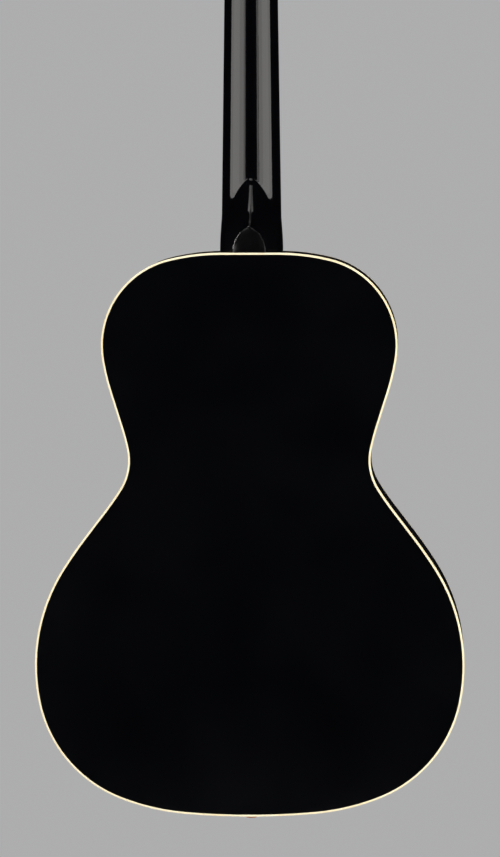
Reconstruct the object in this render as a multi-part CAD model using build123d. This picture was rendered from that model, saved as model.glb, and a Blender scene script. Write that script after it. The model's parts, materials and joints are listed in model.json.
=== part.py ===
# Steel-string acoustic guitar with a small, tight-waisted body, built as its real pieces.
#
# Modelling frame, millimetres: the soundboard's front is the plane y = 0, the back is
# towards +Y, the tail is at z = 0, +Z runs up the neck and the bass side is -X.
# save() moves every piece so that the strap pin's centre is the origin.
from build123d import *
import math
import os

os.makedirs("parts", exist_ok=True)

# --- scale and strings -------------------------------------------------------------
SCALE = 628.65              # nut to twelfth fret, doubled
JOINT_FRET = 14             # the fret that stands over the body's edge
FRETS = 19
STRING_D = [1.35, 1.07, 0.81, 0.61, 0.406, 0.305]   # bass to treble
NUT_PITCH = 7.3             # from string to string at the nut
PIN_PITCH = 10.9            # and at the bridge
ACTION_NUT = 7.6            # underside of the middle strings above the soundboard's plane
ACTION_SADDLE = 10.5
CROWN_R = 305               # radius of fingerboard, frets and saddle

# --- body --------------------------------------------------------------------------
BODY_L = 491.87
TOP_T, BACK_T, SIDE_T = 2.8, 2.6, 2.2
BIND_T, BIND_H = 1.7, 6.0
LINING_W, LINING_H = 6.5, 14.0
DOME_R, DOME_Y, DOME_Z = 4572.0, -4464.6, 59.7      # sphere of the arched back
DEPTH = 130                 # deeper than any part of the body
# Half outline from the tail, as tangent stretches: ("arc", radius, turn in degrees).
HALF_OUTLINE = [
    ("arc", 674.0, 4.8), ("arc", 200.0, 17.3), ("arc", 115.0, 55.9), ("arc", 158.0, 44.1),
    ("arc", 368.0, 5.3), ("line", 30.5), ("arc", 232.0, -5.5), ("arc", 46.8, -44.6),
    ("arc", 235.0, -5.1), ("line", 29.2), ("arc", 211.0, 8.1), ("arc", 77.3, 85.8),
    ("arc", 189.5, 13.9),
]
HOLE_Z, HOLE_R = 362.8, 50.8
HOLE_EDGE, RING_IN, RING_OUT, RING_T = 1.5, 54, 60, 1.2     # the soundhole's two inlaid rings
GUARD_X, GUARD_Z, GUARD_R, GUARD_T = 46, 314, 52, 1.2
BLOCK_W, NECK_BLOCK_L, TAIL_BLOCK_L = 76, 52, 20
BRACE_INSET = SIDE_T + LINING_W + 0.5
BRACE_W, BRACE_H, BRACE_TIP = 7.5, 14.0, 2.5
X_CENTRE_Z, X_SLOPE = 286, 1.15
BACK_BRACE_Z = [95, 215, 345]

# --- bridge ------------------------------------------------------------------------
BRIDGE_W, BRIDGE_H, BRIDGE_Z0, BRIDGE_Z1 = 152, 8, 188, 214
SADDLE_T, SADDLE_W = 3.0, 74
COMP_BASS, COMP_TREBLE = 4.5, 1.5
PIN_Z, PIN_HOLE_R, PIN_HEAD_R = 195, 2.65, 3.8
BRIDGE_END_H, BRIDGE_WING = 3.4, 24         # its thin ends and how far they slope
BRIDGE_PLATE_T, SADDLE_DEPTH = 2.5, 3
STRING_INSIDE = 3.0                         # how far a string shows below the bridge plate

# --- neck --------------------------------------------------------------------------
NUT_T, NUT_HW, JOINT_HW = 5.0, 21.9, 26.7
DEPTH_NUT, DEPTH_JOINT = 20.5, 24.0
D_POWER = 2.25              # roundness of the neck's section
CAP_HW, CAP_L = 14.4, 22.6  # the heel cap's half width and height
HEEL_L, HEEL_TAIL, BLEND = 68.0, 14.0, 5.0
BOARD_T, BOARD_L = 6.0, 421
FRET_W, FRET_H, TANG_W, TANG_H = 2.3, 1.0, 0.6, 1.8
TENON_L, TENON_D, TENON_W0, TENON_W1 = 18, 70, 22, 30
ROD_W, ROD_D = 5.2, 8.0
HEAD_ANGLE, HEAD_T, VENEER_T = 15, 13, 1.5
COVER_T, COVER_U = 1.8, 19.5                # the truss rod cover, and its middle up the headstock
COVER_SCREWS, COVER_SCREW_R = [(-6.3, 12), (6.3, 12), (0, 31.5)], 0.9
POCKET_HW, POCKET_U0, POCKET_U1 = 4.3, 5.0, 27.0
DOT_FRETS, DOT_R, SIDE_DOT_R, DOT_D = (3, 5, 7, 9, 12, 15, 17), 3.2, 1.15, 1.2

# --- tuners ------------------------------------------------------------------------
POST_U = [38, 74, 110]      # up the headstock from the nut
POST_X = [21.5, 23.0, 24.5]
POST_R, POST_TOP, POST_FOOT_R = 3.0, 12.5, 2.0
HOLE_W = 9.0                # the string hole's height above the wood
GEAR_TEETH, GEAR_R, GEAR_T = 14, 5.4, 4.0
PLATE_T, PLATE_W, PLATE_L = 1.0, 15, 98.5
PLATE_SCREWS, PLATE_SCREW_R = [-48, -20, 16, 44.5], 1.2     # along the plate from its middle post
BUSHING_R, BUSHING_RIM, BUSHING_L = 4.4, 5.6, 5
FERRULE_R, FERRULE_X = 2.6, 12.9            # the ring where the shaft enters the button
WORM_A, WORM_W = -7.0, -16.7
WORM_PITCH, WORM_CORE, WORM_CREST = 2.199, 1.35, 2.5
SHAFT_R, EAR_IN, EAR_OUT = 1.5, 4.4, 6.0
WRAPS, WRAP_GAP, TURN_GAP = 2.6, 0.03, 0.05     # turns of string, clear of the post and of each other

# --- strap pin ---------------------------------------------------------------------
STRAP_Y, STRAP_R, STRAP_RIM, STRAP_WAIST = 53.5, 6.5, 3.5, 1.5
STRAP_MID = STRAP_WAIST + STRAP_RIM / 2
BORE_R0, BORE_R1, BORE_L = 4.6, 4.0, 24     # its tapered hole, from 1 mm outside the body


def fret_z(n):
    """Height of fret n; fret 0 is the nut."""
    return Z_NUT - SCALE * (1 - 2 ** (-n / 12))


Z_NUT = BODY_L + SCALE * (1 - 2 ** (-JOINT_FRET / 12))
Z_HEAD = Z_NUT + NUT_T
BOARD_Z = Z_NUT - BOARD_L
CAP_Y = DOME_Y + math.sqrt(DOME_R**2 - (BODY_L - DOME_Z) ** 2)
TILT = math.radians(HEAD_ANGLE)
HEAD = Plane((0, 0, Z_HEAD), x_dir=(1, 0, 0), z_dir=(0, -math.cos(TILT), math.sin(TILT))).location
ROW_ANGLE = math.degrees(math.atan2(POST_X[2] - POST_X[0], POST_U[2] - POST_U[0]))
PLATE_FACE = -HEAD_T        # height of the headstock's back face
GEAR_TOP = WORM_W + GEAR_T / 2


def board_hw(z):
    """Half width of neck and fingerboard."""
    return NUT_HW + (JOINT_HW - NUT_HW) * (Z_NUT - z) / (Z_NUT - BODY_L)


def save(name, *solids):
    """Write one node, moved so that the strap pin's centre is the origin."""
    flat = []
    for item in solids:
        flat += item.solids()
    moved = [Pos(0, -STRAP_Y, STRAP_MID) * s for s in flat]
    shape = moved[0] if len(moved) == 1 else Compound(children=moved)
    export_step(shape, f"parts/{name}.step")
    good = all(s.is_valid for s in flat)
    print(name, len(flat), round(sum(s.volume for s in flat)), "" if good else "INVALID", flush=True)


def block(x0, x1, y0, y1, z0, z1):
    """A box between two corners."""
    return Pos(x0, y0, z0) * Box(x1 - x0, y1 - y0, z1 - z0, align=Align.MIN)


def rod(a, b, r):
    """A round bar from point a to point b."""
    a, b = Vector(*a), Vector(*b)
    return Solid.make_cylinder(r, (b - a).length, Plane(a, z_dir=b - a))


# --- body outline --------------------------------------------------------------------
def outline(inset):
    """The half outline's edges, moved inwards, from the tail to the neck."""
    p, heading, out = Vector(0, inset), Vector(1, 0), []
    for kind, size, *turn in HALF_OUTLINE:
        if kind == "line":
            edge = Line(p, p + heading * size)
        else:
            radius = size - inset if turn[0] > 0 else size + inset
            edge = JernArc(p, heading, radius, turn[0])
        out.append(edge)
        p, heading = edge @ 1, edge % 1
    return out + [Line(p, (0, p.Y))]


def plan(inset):
    """The body's flat shape in the plane y = 0."""
    half = outline(inset)
    whole = half + [edge.mirror(Plane.YZ) for edge in half]
    return Plane.XZ * make_face(Curve() + whole)


def slab(shape, y0, y1):
    """A flat shape of the plane y = 0 made solid between two depths."""
    return Pos(0, y0, 0) * extrude(shape, amount=y1 - y0, dir=(0, 1, 0))


def dome(depth):
    """The ball whose surface lies `depth` inside the back's outer face."""
    return Pos(0, DOME_Y, DOME_Z) * Sphere(DOME_R - depth)


def dome_y(x, z, depth):
    """Where that surface is."""
    return DOME_Y + math.sqrt((DOME_R - depth) ** 2 - x**2 - (z - DOME_Z) ** 2)


def disc(x, z, r, y0, y1):
    """A round plate, its axis along Y."""
    return rod((x, y0, z), (x, y1, z), r)


def tenon():
    """The dovetail that joins the neck to the body."""
    a, b = TENON_W0 / 2, TENON_W1 / 2
    shape = Polyline((-a, BODY_L), (-b, BODY_L - TENON_L), (b, BODY_L - TENON_L), (a, BODY_L), close=True)
    return slab(Plane.XZ * make_face(shape), 0, TENON_D)


def strap_bore():
    """The tapered hole for the strap pin."""
    return Pos(0, STRAP_Y, BORE_L / 2 - 1) * Cone(BORE_R0, BORE_R1, BORE_L)


def string_path(k):
    """Corners of string k from inside the body to its post."""
    r = STRING_D[k] / 2
    side = 1 if k > 2 else -1
    xb, xn = (k - 2.5) * PIN_PITCH, (k - 2.5) * NUT_PITCH
    zp = PIN_Z + PIN_HOLE_R - r
    ys = -ACTION_SADDLE + xb**2 / (2 * CROWN_R) - r
    yn = -ACTION_NUT + xn**2 / (2 * CROWN_R) - r
    row, start_w = wrap_start(k)
    reach = POST_R + r + WRAP_GAP
    tangent = HEAD * Pos(side * (POST_X[row] - reach), POST_U[row], start_w)
    return [
        (xb, TOP_T + BRIDGE_PLATE_T + STRING_INSIDE, zp), (xb, -BRIDGE_H - r, zp), (xb, ys, saddle_z(xb)),
        (xn, yn, Z_NUT + NUT_T / 2), tuple(tangent.position),
    ]


def wrap_start(k):
    """The post's row and the height at which string k meets it."""
    d = STRING_D[k]
    row = 5 - k if k > 2 else k
    return row, HOLE_W - d - 0.2 - WRAPS * (d + TURN_GAP)


def saddle_z(x):
    """The slanted line along which the strings leave the saddle."""
    half = 2.5 * PIN_PITCH
    slope = (COMP_BASS - COMP_TREBLE) / (2 * half)
    return Z_NUT - SCALE - (COMP_BASS + COMP_TREBLE) / 2 + slope * x


def string_line(k, grow=0.0):
    """A string's straight runs with a ball in each corner."""
    pts, r = string_path(k), STRING_D[k] / 2 + grow
    out = None
    for a, b in zip(pts, pts[1:]):
        run = rod(a, b, r)
        out = run if out is None else out + run
    for p in pts[1:-1]:
        out = out + Pos(*p) * Sphere(r)
    return out


STRING_CUT = [string_line(k, 0.04) for k in range(6)]
PIN_X = [(k - 2.5) * PIN_PITCH for k in range(6)]


def pin_holes():
    """The six holes for the bridge pins."""
    return [disc(x, PIN_Z, PIN_HOLE_R, -BRIDGE_H - 5, TOP_T + 4) for x in PIN_X]


# --- body ------------------------------------------------------------------------------
def make_soundboard():
    board = slab(plan(BIND_T), 0, TOP_T)
    board -= disc(0, HOLE_Z, HOLE_R + HOLE_EDGE, -1, TOP_T + 1)
    board -= disc(0, HOLE_Z, RING_OUT, -1, RING_T) - disc(0, HOLE_Z, RING_IN, -1, RING_T)
    board -= tenon()
    for hole, line in zip(pin_holes(), STRING_CUT):
        board = board - hole - line
    save("soundboard", board)


def make_rosette():
    ring = disc(0, HOLE_Z, RING_OUT, 0, RING_T) - disc(0, HOLE_Z, RING_IN, -1, RING_T + 1)
    edge = disc(0, HOLE_Z, HOLE_R + HOLE_EDGE, 0, TOP_T) - disc(0, HOLE_Z, HOLE_R, -1, TOP_T + 1)
    save("rosette", ring, edge)


def make_back():
    save("back_plate", (slab(plan(BIND_T), 0, DEPTH) & dome(0)) - dome(BACK_T))


def make_sides():
    inner = (slab(plan(BIND_T) - plan(SIDE_T), TOP_T, DEPTH) & dome(BACK_T))
    outer = (slab(plan(0) - plan(BIND_T), BIND_H, DEPTH) & dome(BIND_H))
    ring = inner + outer - tenon() - strap_bore()
    save("side_bass", ring & block(-300, 0, -1, DEPTH, -10, 600))
    save("side_treble", ring & block(0, 300, -1, DEPTH, -10, 600))


def make_bindings():
    ring = plan(0) - plan(BIND_T)
    top = slab(ring, 0, BIND_H)
    face = top.faces().sort_by(Axis.Y)[0]
    top = top.fillet(0.8, face.outer_wire().edges())
    save("top_binding", top - tenon())
    back = (slab(ring, 0, DEPTH) & dome(0)) - dome(BIND_H)
    face = max((f for f in back.faces() if f.geom_type == GeomType.SPHERE), key=lambda f: f.center().Y)
    back = back.fillet(0.8, face.outer_wire().edges())
    save("back_binding", back)


def blocks_zone():
    """The room that the two end blocks take."""
    half = BLOCK_W / 2
    return [
        block(-half, half, -1, DEPTH, BODY_L - NECK_BLOCK_L, BODY_L + 5),
        block(-half, half, -1, DEPTH, -5, TAIL_BLOCK_L),
    ]


def make_blocks():
    core = slab(plan(SIDE_T), TOP_T, DEPTH) & dome(BACK_T)
    neck_zone, tail_zone = blocks_zone()
    save("neck_block", (core & neck_zone) - tenon())
    save("tail_block", (core & tail_zone) - strap_bore())


def make_linings():
    ring = plan(SIDE_T) - plan(SIDE_T + LINING_W)
    top = slab(ring, TOP_T, TOP_T + LINING_H)
    back = (slab(ring, 0, DEPTH) & dome(BACK_T)) - dome(BACK_T + LINING_H)
    for zone in blocks_zone():
        top, back = top - zone, back - zone
    save("top_lining", top)
    save("back_lining", back)


# --- bracing ---------------------------------------------------------------------------
def brace(p0, p1, width, height):
    """A soundboard brace between two points of the plane, thinner at its ends."""
    a, b = Vector(p0[0], TOP_T, p0[1]), Vector(p1[0], TOP_T, p1[1])
    length, run = (b - a).length, min(35, (b - a).length * 0.3)
    side = Polyline(
        (0, 0), (length, 0), (length, BRACE_TIP), (length - run, height), (run, height), (0, BRACE_TIP),
        close=True)
    plane = Plane(a, x_dir=b - a, z_dir=(b - a).cross(Vector(0, 1, 0)))
    return plane.location * (Pos(0, 0, -width / 2) * extrude(make_face(side), width))


def make_braces():
    inside = slab(plan(BRACE_INSET), 0, 40)
    reach = 170
    bars = []
    for side in (-1, 1):
        ends = [(-side * reach * X_SLOPE, X_CENTRE_Z - reach), (side * reach * X_SLOPE, X_CENTRE_Z + reach)]
        bars.append(brace(ends[0], ends[1], BRACE_W, BRACE_H) & inside)
    low = block(-9, 9, TOP_T - 1, TOP_T + BRACE_H / 2, X_CENTRE_Z - 9, X_CENTRE_Z + 9)
    high = block(-9, 9, TOP_T + BRACE_H / 2, TOP_T + BRACE_H + 1, X_CENTRE_Z - 9, X_CENTRE_Z + 9)
    cross = bars[0] & bars[1]
    bass, treble = bars[1] - (cross & high), bars[0] - (cross & low)
    save("x_brace_bass", bass)
    save("x_brace_treble", treble)
    plate_shape = Polyline((-69, 220), (69, 220), (85, 186), (-85, 186), close=True)
    plate = slab(Plane.XZ * make_face(plate_shape), TOP_T, TOP_T + BRIDGE_PLATE_T)
    for hole, line in zip(pin_holes(), STRING_CUT):
        plate = plate - hole - line
    save("bridge_plate", plate)
    others = [
        brace((-101, 165), (104, 104), 6.5, 12), brace((-72, 113), (80, 62), 6.5, 11),
        brace((-150, 428), (150, 428), 14, 16), brace((-130, 405), (130, 405), 5, 4),
    ]
    for side in (-1, 1):
        others.append(brace((side * 93, 216), (side * 150, 223), 5.5, 8))
        others.append(brace((side * 122, 190), (side * 168, 186), 5.5, 8))
    zones = blocks_zone()
    kept = [((bar & inside) - bass - treble - zones[0]) for bar in others]
    save("top_braces", *[bar for bar in kept if bar.volume > 1])


def make_back_braces():
    inside = slab(plan(BRACE_INSET), 0, DEPTH) & dome(BACK_T)
    bars = []
    for z, half_l in zip(BACK_BRACE_Z, (181, 172, 106)):
        y_mid, y_end = dome_y(0, z, BACK_T), dome_y(half_l, z, BACK_T)
        shape = Polyline(
            (-half_l, y_mid + 5), (half_l, y_mid + 5), (half_l, y_end - 3), (half_l - 40, y_end - 13),
            (0, y_mid - 15), (40 - half_l, y_end - 13), (-half_l, y_end - 3), close=True)
        bars.append((Pos(0, 0, z - 4) * extrude(make_face(shape), 8)) & inside)
    save("back_braces", *bars)
    strip = block(-8, 8, 0, DEPTH, TAIL_BLOCK_L + 1, BODY_L - NECK_BLOCK_L - 1)
    strip = (strip & dome(BACK_T)) - dome(BACK_T + 2)
    for bar in bars:
        strip -= bar
    save("back_center_strip", strip)


# --- bridge ------------------------------------------------------------------------------
def saddle_blank():
    """The saddle's block, slanted for the strings' compensation."""
    slant = math.degrees(math.atan2(COMP_BASS - COMP_TREBLE, 5 * PIN_PITCH))
    height = ACTION_SADDLE - SADDLE_DEPTH
    blank = Box(SADDLE_W, height + 2, SADDLE_T)
    return Pos(0, -SADDLE_DEPTH - height / 2 - 1, saddle_z(0)) * Rot(0, -slant, 0) * blank


def crown(height, z0, z1):
    """Everything below a surface of the fingerboard's radius, `height` above the plane."""
    return Pos(0, CROWN_R - height, (z0 + z1) / 2) * Cylinder(CROWN_R, z1 - z0)


def make_bridge():
    w, h, end = BRIDGE_W / 2, BRIDGE_H, -BRIDGE_END_H
    flat = w - BRIDGE_WING
    shape = Polyline((-w, 0), (w, 0), (w, end), (flat, -h), (-flat, -h), (-w, end), close=True)
    body = Pos(0, 0, BRIDGE_Z0) * extrude(make_face(shape), BRIDGE_Z1 - BRIDGE_Z0)
    body = body.fillet(5, body.edges().filter_by(Axis.Y))
    body = body.fillet(1.0, body.faces().sort_by(Axis.Y)[0].outer_wire().edges())
    body -= saddle_blank()
    for hole, line in zip(pin_holes(), STRING_CUT):
        body = body - hole - line
    save("bridge", body)
    saddle = saddle_blank() & crown(ACTION_SADDLE, 150, 250)
    for line in STRING_CUT:
        saddle -= line
    save("saddle", saddle)
    pins = []
    for x, line in zip(PIN_X, STRING_CUT):
        shank = Pos(x, 0, PIN_Z) * Rot(-90, 0, 0) * Pos(0, 0, 1) * Cone(PIN_HOLE_R, 2.1, 18)
        head = Pos(x, -BRIDGE_H - 0.8, PIN_Z) * (Sphere(PIN_HEAD_R) & block(-9, 9, -9, 0, -9, 9))
        neck = disc(x, PIN_Z, PIN_HOLE_R, -BRIDGE_H - 1, -BRIDGE_H)
        rim = disc(x, PIN_Z, PIN_HEAD_R, -BRIDGE_H - 0.8, -BRIDGE_H)
        pins.append(shank + rim + neck + head - line)
    save("bridge_pins", *pins)


def make_pickguard():
    guard = disc(GUARD_X, GUARD_Z, GUARD_R, -GUARD_T, 0) - disc(0, HOLE_Z, RING_OUT + 1.5, -5, 5)
    save("pickguard", guard)


def make_strap_pin():
    tip, waist, foot = TAIL_BLOCK_L + 1, -STRAP_WAIST, -STRAP_WAIST - STRAP_RIM
    tip_r = BORE_R0 - (BORE_R0 - BORE_R1) / BORE_L * (tip + 1)
    shank = Pos(0, 0, (tip - 1) / 2) * Cone(BORE_R0, tip_r, tip + 1)
    neck = rod((0, 0, waist), (0, 0, -1), BORE_R0)
    rim = rod((0, 0, foot), (0, 0, waist), STRAP_R)
    cap = Pos(0, 0, foot - 0.65) * Cone(STRAP_R - 2.4, STRAP_R, 1.3)
    pin = shank + neck + rim + cap
    pin = pin.fillet(0.8, pin.faces().sort_by(Axis.Z)[0].edges())
    save("end_pin", Pos(0, STRAP_Y, 0) * pin)


# --- neck ------------------------------------------------------------------------------
def shaft_x(y, z):
    """Half width of the playing part of the neck at a depth y."""
    depth = DEPTH_NUT + (DEPTH_JOINT - DEPTH_NUT) * min(1, max(0, (Z_NUT - z) / (Z_NUT - BODY_L)))
    width = board_hw(min(z, Z_NUT))
    if y < depth:
        return width * (1 - (y / depth) ** D_POWER) ** (1 / D_POWER)
    return -(y - depth) * 2.5


def heel_x(y, z):
    """Half width of the heel, a pointed arch that grows up the neck near the fingerboard."""
    if y > CAP_Y:
        fade = math.sqrt(max(0, 1 - ((y - CAP_Y) / HEEL_TAIL) ** 2))
        width, length = CAP_HW * fade, CAP_L * fade
    else:
        width = CAP_HW + (JOINT_HW - CAP_HW) * (1 - y / CAP_Y) ** 1.5
        t = (CAP_Y - max(y, DEPTH_JOINT)) / (CAP_Y - DEPTH_JOINT)
        length = HEEL_L - (HEEL_L - CAP_L) * math.sqrt(1 - t * t)
    u = (z - BODY_L) / max(length, 1e-6)
    return width * (1 - u**2.2) ** 0.75 if u < 1 else -(u - 1) * 1.2 * width


def neck_x(y, z):
    """Both, blended where they meet."""
    a, b = shaft_x(y, z), heel_x(y, z)
    h = max(BLEND - abs(a - b), 0) / BLEND
    return max(a, b) + h * h * BLEND / 4


def neck_section(z, points=11):
    """A cut across the neck: a spline round the back, closed by the flat front."""
    low, high = DEPTH_NUT - 4, CAP_Y + HEEL_TAIL + 3
    steps = [low + (high - low) * i / 400 for i in range(401)]
    low = max(y for y in steps if neck_x(y, z) > 0)
    high = low + 0.4
    for _ in range(30):
        mid = (low + high) / 2
        low, high = (mid, high) if neck_x(mid, z) > 0 else (low, mid)
    fine = []
    for q in range(600):
        y = low * math.sin(q * math.pi / 1200)
        fine.append((max(neck_x(y, z), 0), y))
    fine.append((0, low))
    run = [0]
    for a, b in zip(fine, fine[1:]):
        run.append(run[-1] + math.dist(a, b))
    half = []
    for k in range(points):
        want = run[-1] * k / (points - 1)
        half.append(fine[min(range(601), key=lambda j: abs(run[j] - want))])
    whole = [(x, y, z) for x, y in half] + [(-x, y, z) for x, y in half[-2::-1]]
    even = [i / (len(whole) - 1) for i in range(len(whole))]
    curve = Edge.make_spline([Vector(*p) for p in whole], parameters=even)
    return Face(Wire([curve, Edge.make_line(whole[-1], whole[0])]))


def head_shape():
    """The headstock's outline, from the nut to a softly arched crown."""
    half = [
        Bezier((NUT_HW, 0), (NUT_HW + 0.4, 9), (29.6, 11), (31, 22)),
        Line((31, 22), (36, 162)),
        Bezier((36, 162), (36.3, 169), (34, 171.2), (28, 172.2)),
    ]
    crest = ThreePointArc((28, 172.2), (0, 178), (-28, 172.2))
    base = Line((-NUT_HW, 0), (NUT_HW, 0))
    return make_face(Curve() + half + [e.mirror(Plane.YZ) for e in half] + [crest, base])


def head_slab(w0, w1):
    return HEAD * (Pos(0, 0, w0) * extrude(head_shape(), w1 - w0))


def head_rod(x, u, w0, w1, r):
    """A round bar square to the headstock's face."""
    return HEAD * (Pos(x, u, (w0 + w1) / 2) * Cylinder(r, w1 - w0))


def posts():
    """Place and row of each post, numbered from the first string."""
    out = []
    for row in range(3):
        out.append((POST_X[row], POST_U[row], 1))
    for row in (2, 1, 0):
        out.append((-POST_X[row], POST_U[row], -1))
    return out


def row_frame(side):
    """Frame of a tuner plate: its middle post, X outwards and Y up the row."""
    return HEAD * Pos(side * POST_X[1], POST_U[1], 0) * Rot(0, 0, -side * ROW_ANGLE)


def plate_screw_holes(r, w0, w1):
    out = []
    for side in (-1, 1):
        for a in PLATE_SCREWS:
            out.append(row_frame(side) * (Pos(0, a, (w0 + w1) / 2) * Cylinder(r, w1 - w0)))
    return out


def rod_pocket(w0, w1):
    """The pocket that lets a key reach the truss rod's nut."""
    size = Box(2 * POCKET_HW, POCKET_U1 - POCKET_U0, w1 - w0)
    return HEAD * (Pos(0, (POCKET_U0 + POCKET_U1) / 2, (w0 + w1) / 2) * size)


def make_neck():
    rises = [0, 6, 11, 15, 18, 20.5, 22.5, 25, 28, 32, 37, 43, 50, 58, 66, 74, 90, 120, 180, 260]
    heights = [BODY_L + s for s in rises] + [Z_NUT, Z_NUT + 34]
    shaft = loft([neck_section(z) for z in heights], ruled=True)
    whole = shaft + head_slab(-HEAD_T, 0)
    whole -= HEAD * (Pos(0, 100, 15) * Box(120, 200, 30))
    cap = (whole & dome(0.4) & block(-40, 40, 60, DEPTH, BODY_L - 1, BODY_L + 60)) - dome(BACK_T)
    save("heel_cap", cap)
    below = block(-40, 40, 60, DEPTH, BODY_L - 1, BODY_L + 60) - dome(BACK_T)
    neck = whole - below + tenon()
    neck -= block(-ROD_W / 2, ROD_W / 2, -1, ROD_D, BODY_L - 14, Z_HEAD + 9)
    neck -= rod_pocket(-9, 1)
    for x, u, _ in posts():
        neck -= head_rod(x, u, -HEAD_T - 1, 1, BUSHING_R)
    for hole in plate_screw_holes(PLATE_SCREW_R, -HEAD_T - 1, -HEAD_T + 9):
        neck -= hole
    for x, u in COVER_SCREWS:
        neck -= head_rod(x, u, -7, 1, COVER_SCREW_R)
    save("neck", neck)


def make_head_trim():
    veneer = head_slab(0, VENEER_T) - rod_pocket(-1, VENEER_T + 1)
    for x, u, _ in posts():
        veneer -= head_rod(x, u, -1, VENEER_T + 1, BUSHING_R)
    cover = Pos(0, COVER_U) * SlotCenterToCenter(15, 17, rotation=90)
    cover = extrude(cover, COVER_T)
    cover = HEAD * (Pos(0, 0, VENEER_T) * cover.fillet(0.7, cover.faces().sort_by(Axis.Z)[-1].edges()))
    for x, u in COVER_SCREWS:
        veneer -= head_rod(x, u, -1, VENEER_T + 1, COVER_SCREW_R)
        cover -= head_rod(x, u, 0, 9, COVER_SCREW_R)
    save("head_veneer", veneer)
    save("truss_rod_cover", cover)


def make_truss_rod():
    y = ROD_D - 2.5
    bar = rod((0, y, BODY_L - 12), (0, y, Z_HEAD + 6.5), 2.4)
    anchor = block(-2.5, 2.5, 1, ROD_D, BODY_L - 13.5, BODY_L - 6)
    hexagon = Pos(0, y, Z_HEAD + 6.5) * extrude(RegularPolygon(3.2, 6), 8)
    save("truss_rod", (bar + anchor) + hexagon)


def make_fingerboard():
    z0, z1 = BOARD_Z, Z_NUT
    a, b = board_hw(z0), board_hw(z1)
    shape = Polyline((-a, z0), (a, z0), (b, z1), (-b, z1), close=True)
    blank = slab(Plane.XZ * make_face(shape), -BOARD_T - 1, 0)
    board = blank & crown(BOARD_T, z0 - 1, z1 + 1)
    frets = []
    for n in range(1, FRETS + 1):
        z = fret_z(n)
        zone = block(-60, 60, -20, 0, z - FRET_W / 2, z + FRET_W / 2)
        bead = ((slab(Plane.XZ * make_face(shape), -20, 0) & crown(BOARD_T + FRET_H, z - 5, z + 5)) & zone)
        bead = bead - crown(BOARD_T, z - 5, z + 5)
        top = [e for e in bead.edges() if e.geom_type == GeomType.CIRCLE and e.radius == CROWN_R]
        top = sorted(top, key=lambda e: (e @ 0.5).Y)[:2]
        bead = bead.fillet(0.75, top)
        slot = block(-60, 60, -20, 0, z - TANG_W / 2, z + TANG_W / 2)
        tang = (board & slot) - crown(BOARD_T - TANG_H, z - 5, z + 5)
        board -= tang
        frets.append(bead + tang)
    save("frets", *frets)
    dots = []
    for n in DOT_FRETS:
        z = (fret_z(n) + fret_z(n - 1)) / 2
        for x in ((-9, 9) if n == 12 else (0,)):
            dots.append(disc(x, z, DOT_R, -20, -BOARD_T + DOT_D) & crown(BOARD_T, z - 9, z + 9))
        for dz in ((-5, 5) if n == 12 else (0,)):
            edge = -board_hw(z + dz)
            dots.append(rod((edge - 1, -3, z + dz), (edge + 2, -3, z + dz), SIDE_DOT_R) & board)
    for dot in dots:
        board -= dot
    save("position_dots", *dots)
    save("fingerboard", board)


def make_nut():
    body = block(-NUT_HW, NUT_HW, -ACTION_NUT - 0.9, 0, Z_NUT, Z_HEAD)
    body &= crown(ACTION_NUT + 0.7, Z_NUT - 1, Z_HEAD + 1)
    for line in STRING_CUT:
        body -= line
    save("nut", body)


# --- tuners --------------------------------------------------------------------------------
def tuner_frame(x, u):
    """Frame of a treble tuner: post axis along Z, X outwards along the worm, Y up the row."""
    return HEAD * Pos(x, u, 0) * Rot(0, 0, -ROW_ANGLE)


WORM = Plane((0, WORM_A, WORM_W), x_dir=(0, 1, 0), z_dir=(1, 0, 0)).location


def worm_solid():
    """Right-handed worm with its shaft, collars and end, along Z."""
    turns = 3
    base = WORM_CORE + 0.01     # just clear of the core, which it stands on as its own solid
    helix = Edge.make_helix(WORM_PITCH, turns * WORM_PITCH, base)
    helix = Pos(0, 0, -turns * WORM_PITCH / 2) * Rot(0, 0, 180) * helix
    rise = WORM_CREST - base
    shape = Polyline((0, -0.55), (rise, -0.16), (rise, 0.16), (0, 0.55), close=True)
    start = Plane(helix @ 0, x_dir=(-1, 0, 0), z_dir=helix % 0)
    thread = sweep(start.location * make_face(shape), path=helix, is_frenet=True)
    core = Cylinder(WORM_CORE, 2 * EAR_IN)
    shaft = Pos(0, 0, EAR_IN - 0.1) * Cylinder(SHAFT_R, 12, align=(Align.CENTER, Align.CENTER, Align.MIN))
    end = Pos(0, 0, -EAR_OUT - 0.6) * Cylinder(SHAFT_R, 2.3, align=(Align.CENTER, Align.CENTER, Align.MIN))
    collars = Pos(0, 0, 3.95) * Cylinder(2.2, 0.7) + Pos(0, 0, -3.95) * Cylinder(2.2, 0.7)
    ferrule = Pos(0, 0, FERRULE_X) * Cylinder(FERRULE_R, 2.0)
    return core + shaft + end + collars + ferrule, thread


def gear_solid():
    """Worm wheel about Z, one gap facing the worm, with its screw."""
    blank = Pos(0, 0, GEAR_TOP - GEAR_T / 2) * Cylinder(GEAR_R, GEAR_T)
    blank -= Pos(0, 0, GEAR_TOP - GEAR_T / 2) * Cylinder(POST_FOOT_R, GEAR_T + 1)
    lead = math.degrees(math.atan(WORM_PITCH / (2 * math.pi * 2.1)))
    shape = Polyline((4.05, -0.36), (5.8, -1.02), (5.8, 1.02), (4.05, 0.36), close=True)
    tool = Pos(0, 0, -4) * extrude(make_face(shape), 8)
    tool = Rot(lead, 0, 0) * tool
    for k in range(GEAR_TEETH):
        blank -= Pos(0, 0, WORM_W) * Rot(0, 0, -90 + k * 360 / GEAR_TEETH) * tool
    low = GEAR_TOP - GEAR_T
    screw = Pos(0, 0, low - 0.6) * Cylinder(2.9, 1.2)
    screw = screw.fillet(0.5, screw.faces().sort_by(Axis.Z)[0].edges())
    screw -= Pos(0, 0, low - 1.2) * Box(7, 0.7, 1.0)
    return blank, screw


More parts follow.
